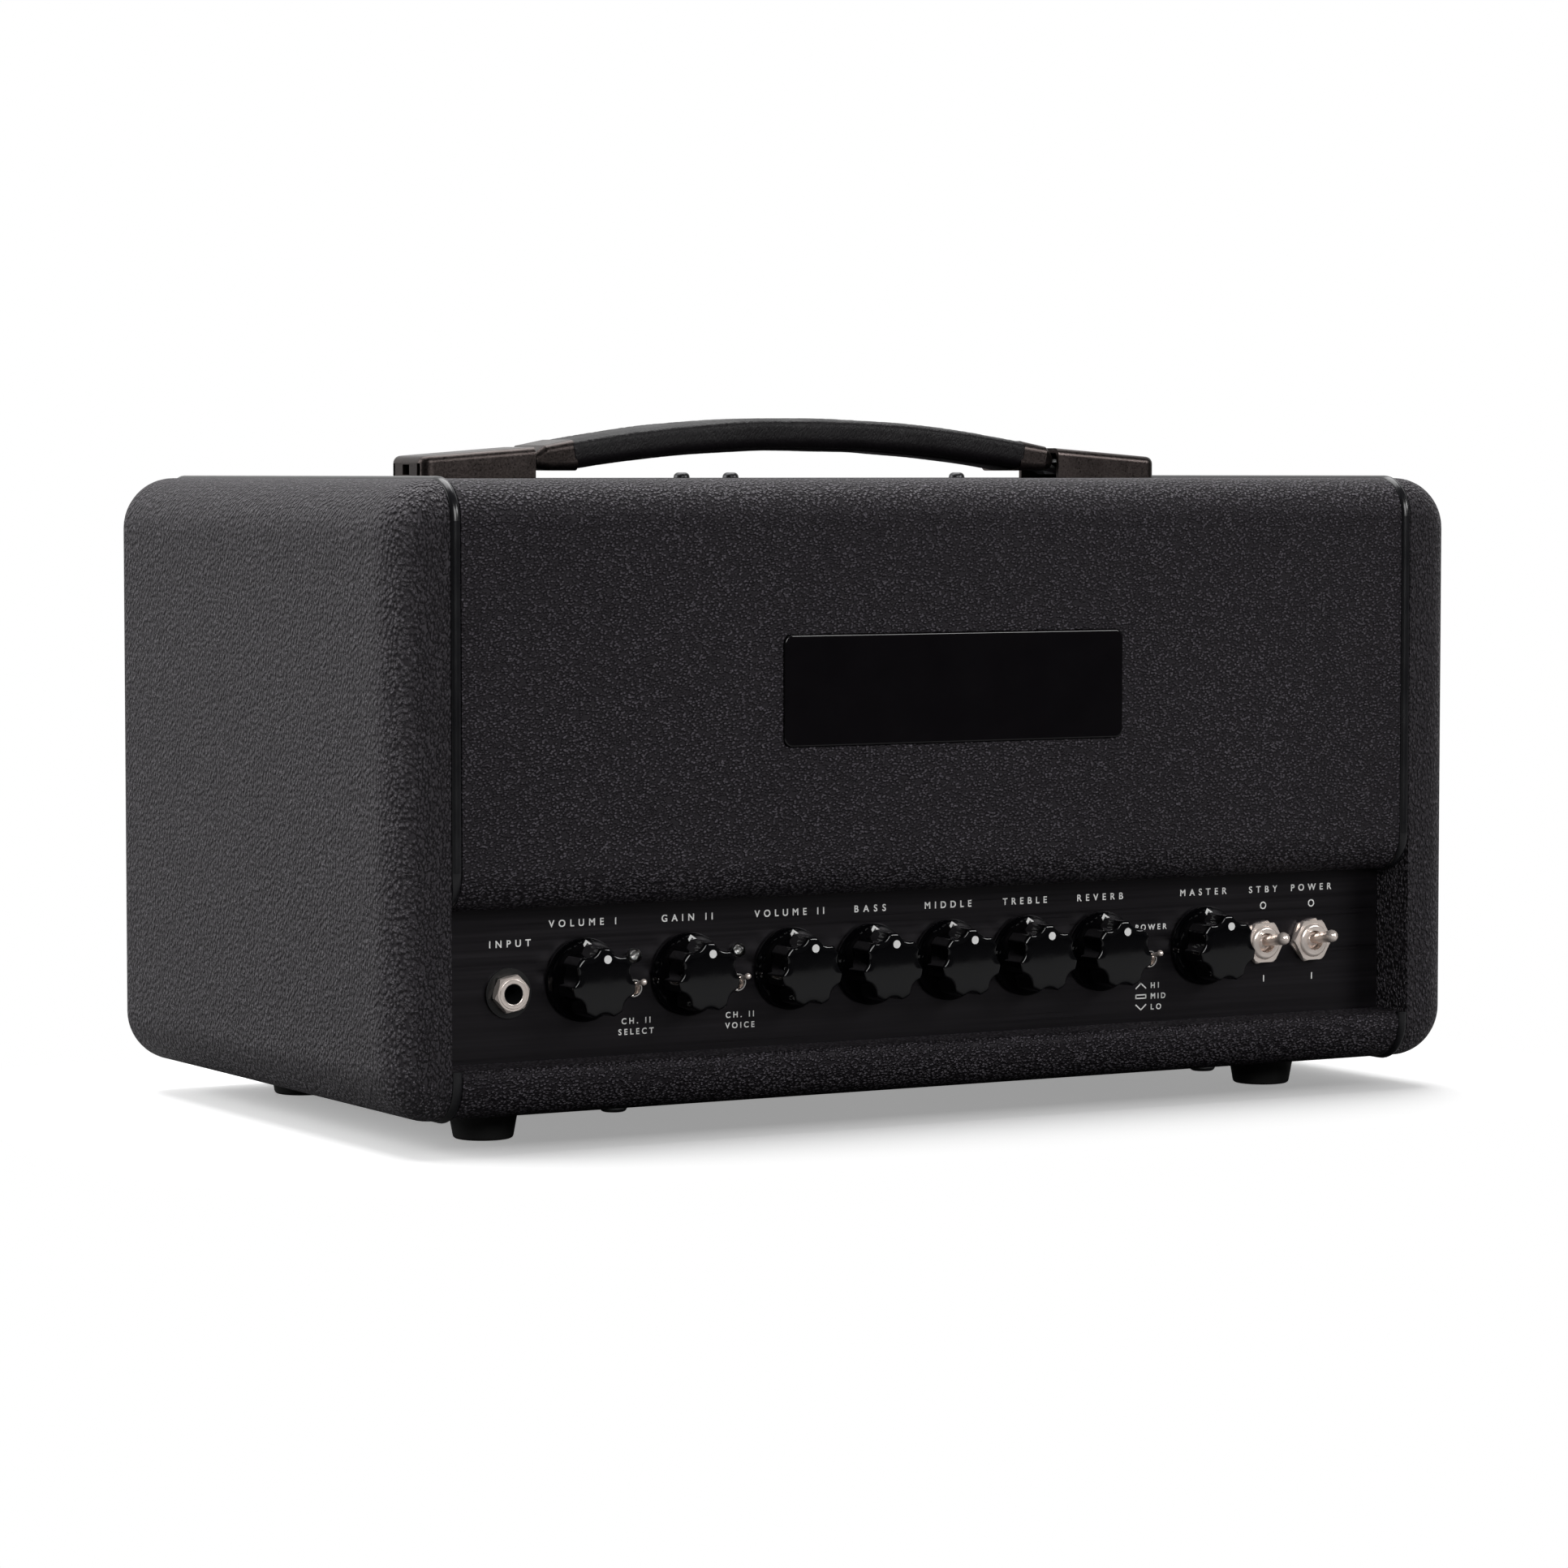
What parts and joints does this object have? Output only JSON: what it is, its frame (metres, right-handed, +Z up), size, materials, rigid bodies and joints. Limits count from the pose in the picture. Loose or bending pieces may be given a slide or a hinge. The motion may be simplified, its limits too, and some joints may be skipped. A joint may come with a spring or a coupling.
{
  "type": "guitar amplifier head",
  "caption": "Vinyl-covered valve guitar amplifier head with a strap handle, rubber feet, and fluted knobs, toggle switches and an input socket on a recessed panel.",
  "frame": {"origin": "on the floor, under the middle of the bounding box", "axes": "+X to the right seen from the front, +Y from the front to the back, +Z up"},
  "size_m": [0.423, 0.2338, 0.2411],
  "materials": {
    "black_vinyl_on_plywood": "embossed vinyl",
    "black_piping": "gloss",
    "black_plate": "gloss",
    "bare_plywood": "raw",
    "rubber": "matt",
    "black_screws": "satin",
    "bright_steel": "zinc plated",
    "satin_nickel": "satin nickel plated",
    "nickel": "polished",
    "black_leather": "grained",
    "black_brushed_panel": "brushed under gloss lacquer",
    "black_steel": "satin powder coat",
    "zinc_steel": "zinc plated",
    "aluminium": "satin",
    "black_knob": "gloss",
    "black_plastic": "moulded",
    "clear_lens": "clear",
    "green_board": "solder mask",
    "component_plastic": "sleeved",
    "glass": "clear",
    "ceramic": "glazed",
    "laminations": "varnished"
  },
  "bodies": {
    "cabinet": {"side_panel_left": "black_vinyl_on_plywood", "side_panel_right": "black_vinyl_on_plywood", "top_panel": "black_vinyl_on_plywood", "front_panel": "black_vinyl_on_plywood", "bottom_panel": "black_vinyl_on_plywood", "piping_left": "black_piping", "piping_right": "black_piping", "nameplate": "black_plate", "rubber_feet": "rubber", "foot_screws": "bright_steel", "rear_battens": "bare_plywood", "rear_grille": "black_steel", "rear_grille_screws": "black_screws", "top_screws": "black_screws", "heat_shield": "aluminium", "handle_cap_left": "satin_nickel", "handle_cap_right": "satin_nickel", "handle_screws": "bright_steel", "chassis_tray": "zinc_steel", "chassis_bolts": "bright_steel", "control_faceplate": "black_brushed_panel", "input_jack_body": "black_plastic", "input_jack_nut": "nickel", "input_jack_washer": "black_plastic", "led_lenses": "clear_lens", "pot_bodies": "zinc_steel", "pot_nuts": "nickel", "mini_switch_bodies": "black_plastic", "mini_switch_bushings": "nickel", "mains_switch_bodies": "black_plastic", "mains_switch_bushings": "nickel", "mains_switch_nuts": "nickel", "main_board": "green_board", "board_components": "component_plastic", "output_transformer": "laminations", "power_supply": "aluminium", "power_valves": "glass", "valve_bases": "black_plastic", "valve_sockets": "ceramic", "preamp_valve": "glass", "rear_faceplate": "black_steel", "mains_inlet": "black_plastic", "rear_jack_bodies": "black_plastic", "rear_jack_nuts": "nickel"},
    "volume_1_control": {"knob_volume_1": "black_knob"},
    "gain_2_control": {"knob_gain_2": "black_knob"},
    "volume_2_control": {"knob_volume_2": "black_knob"},
    "bass_control": {"knob_bass": "black_knob"},
    "middle_control": {"knob_middle": "black_knob"},
    "treble_control": {"knob_treble": "black_knob"},
    "reverb_control": {"knob_reverb": "black_knob"},
    "master_control": {"knob_master": "black_knob"},
    "channel_select_switch": {"lever_channel_select": "nickel"},
    "voice_switch": {"lever_voice": "nickel"},
    "output_power_switch": {"lever_output_power": "nickel"},
    "standby_switch": {"lever_standby": "nickel"},
    "power_switch": {"lever_power": "nickel"},
    "handle": {"handle_grip": "black_leather", "handle_ferrules": "satin_nickel", "handle_strap": "bright_steel"}
  },
  "joints": [
    {"name": "volume_1_turn", "type": "hinge", "parent": "cabinet", "child": "volume_1_control", "pos_m": [-0.134, -0.098, 0.054], "axis": [0, 1, 0], "range_deg": [-150, 150]},
    {"name": "gain_2_turn", "type": "hinge", "parent": "cabinet", "child": "gain_2_control", "pos_m": [-0.0945, -0.098, 0.054], "axis": [0, 1, 0], "range_deg": [-150, 150]},
    {"name": "volume_2_turn", "type": "hinge", "parent": "cabinet", "child": "volume_2_control", "pos_m": [-0.055, -0.098, 0.054], "axis": [0, 1, 0], "range_deg": [-150, 150]},
    {"name": "bass_turn", "type": "hinge", "parent": "cabinet", "child": "bass_control", "pos_m": [-0.0232, -0.098, 0.054], "axis": [0, 1, 0], "range_deg": [-150, 150]},
    {"name": "middle_turn", "type": "hinge", "parent": "cabinet", "child": "middle_control", "pos_m": [0.0081, -0.098, 0.054], "axis": [0, 1, 0], "range_deg": [-150, 150]},
    {"name": "treble_turn", "type": "hinge", "parent": "cabinet", "child": "treble_control", "pos_m": [0.0394, -0.098, 0.054], "axis": [0, 1, 0], "range_deg": [-150, 150]},
    {"name": "reverb_turn", "type": "hinge", "parent": "cabinet", "child": "reverb_control", "pos_m": [0.0707, -0.098, 0.054], "axis": [0, 1, 0], "range_deg": [-150, 150]},
    {"name": "master_turn", "type": "hinge", "parent": "cabinet", "child": "master_control", "pos_m": [0.1145, -0.098, 0.054], "axis": [0, 1, 0], "range_deg": [-150, 150]},
    {"name": "channel_select_throw", "type": "hinge", "parent": "cabinet", "child": "channel_select_switch", "pos_m": [-0.1152, -0.0955, 0.0503], "axis": [1, 0, 0], "range_deg": [0, 28]},
    {"name": "voice_throw", "type": "hinge", "parent": "cabinet", "child": "voice_switch", "pos_m": [-0.0755, -0.0955, 0.0503], "axis": [1, 0, 0], "range_deg": [0, 28]},
    {"name": "output_power_throw", "type": "hinge", "parent": "cabinet", "child": "output_power_switch", "pos_m": [0.091, -0.0955, 0.0503], "axis": [1, 0, 0], "range_deg": [0, 28]},
    {"name": "standby_throw", "type": "hinge", "parent": "cabinet", "child": "standby_switch", "pos_m": [0.1392, -0.0984, 0.054], "axis": [1, 0, 0], "range_deg": [0, 19]},
    {"name": "power_throw", "type": "hinge", "parent": "cabinet", "child": "power_switch", "pos_m": [0.1602, -0.0984, 0.054], "axis": [1, 0, 0], "range_deg": [0, 19]},
    {"name": "handle_lift", "type": "slide", "parent": "cabinet", "child": "handle", "axis": [0, 0, 1], "range_m": [0, 0.003]}
  ]
}
